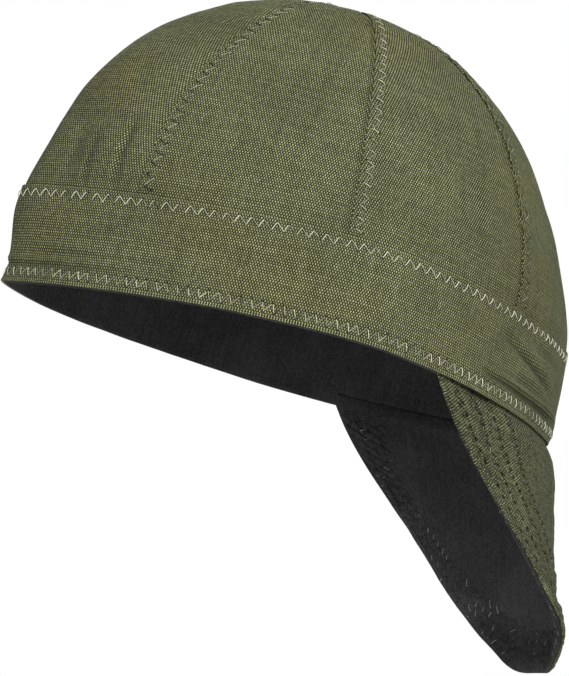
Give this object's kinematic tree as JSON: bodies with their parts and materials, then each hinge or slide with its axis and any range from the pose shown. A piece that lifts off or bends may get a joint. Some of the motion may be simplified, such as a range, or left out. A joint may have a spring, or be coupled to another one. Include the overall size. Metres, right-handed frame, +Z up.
{
  "type": "welding cap",
  "caption": "Close-fitting cloth cap with a gored crown, a headband and a stitched neck flap hanging at the back.",
  "frame": {"origin": "centre of the head opening, in the plane of the headband's lower edge", "axes": "+Z up through the crown, the front towards -Y, the neck flap towards +Y, +X to the wearer's left"},
  "size_m": [0.1514, 0.2811, 0.2554],
  "materials": {
    "olive_canvas": "matte woven cotton canvas",
    "black_lining": "matte brushed cloth"
  },
  "bodies": {
    "root": {"crown_panel_1": "olive_canvas", "crown_panel_2": "olive_canvas", "crown_panel_3": "olive_canvas", "crown_panel_4": "olive_canvas", "crown_panel_5": "olive_canvas", "crown_panel_6": "olive_canvas", "headband": "olive_canvas", "crown_lining": "black_lining", "band_lining": "black_lining", "neck_flap_outer": "olive_canvas", "neck_flap_lining": "black_lining"}
  },
  "joints": []
}
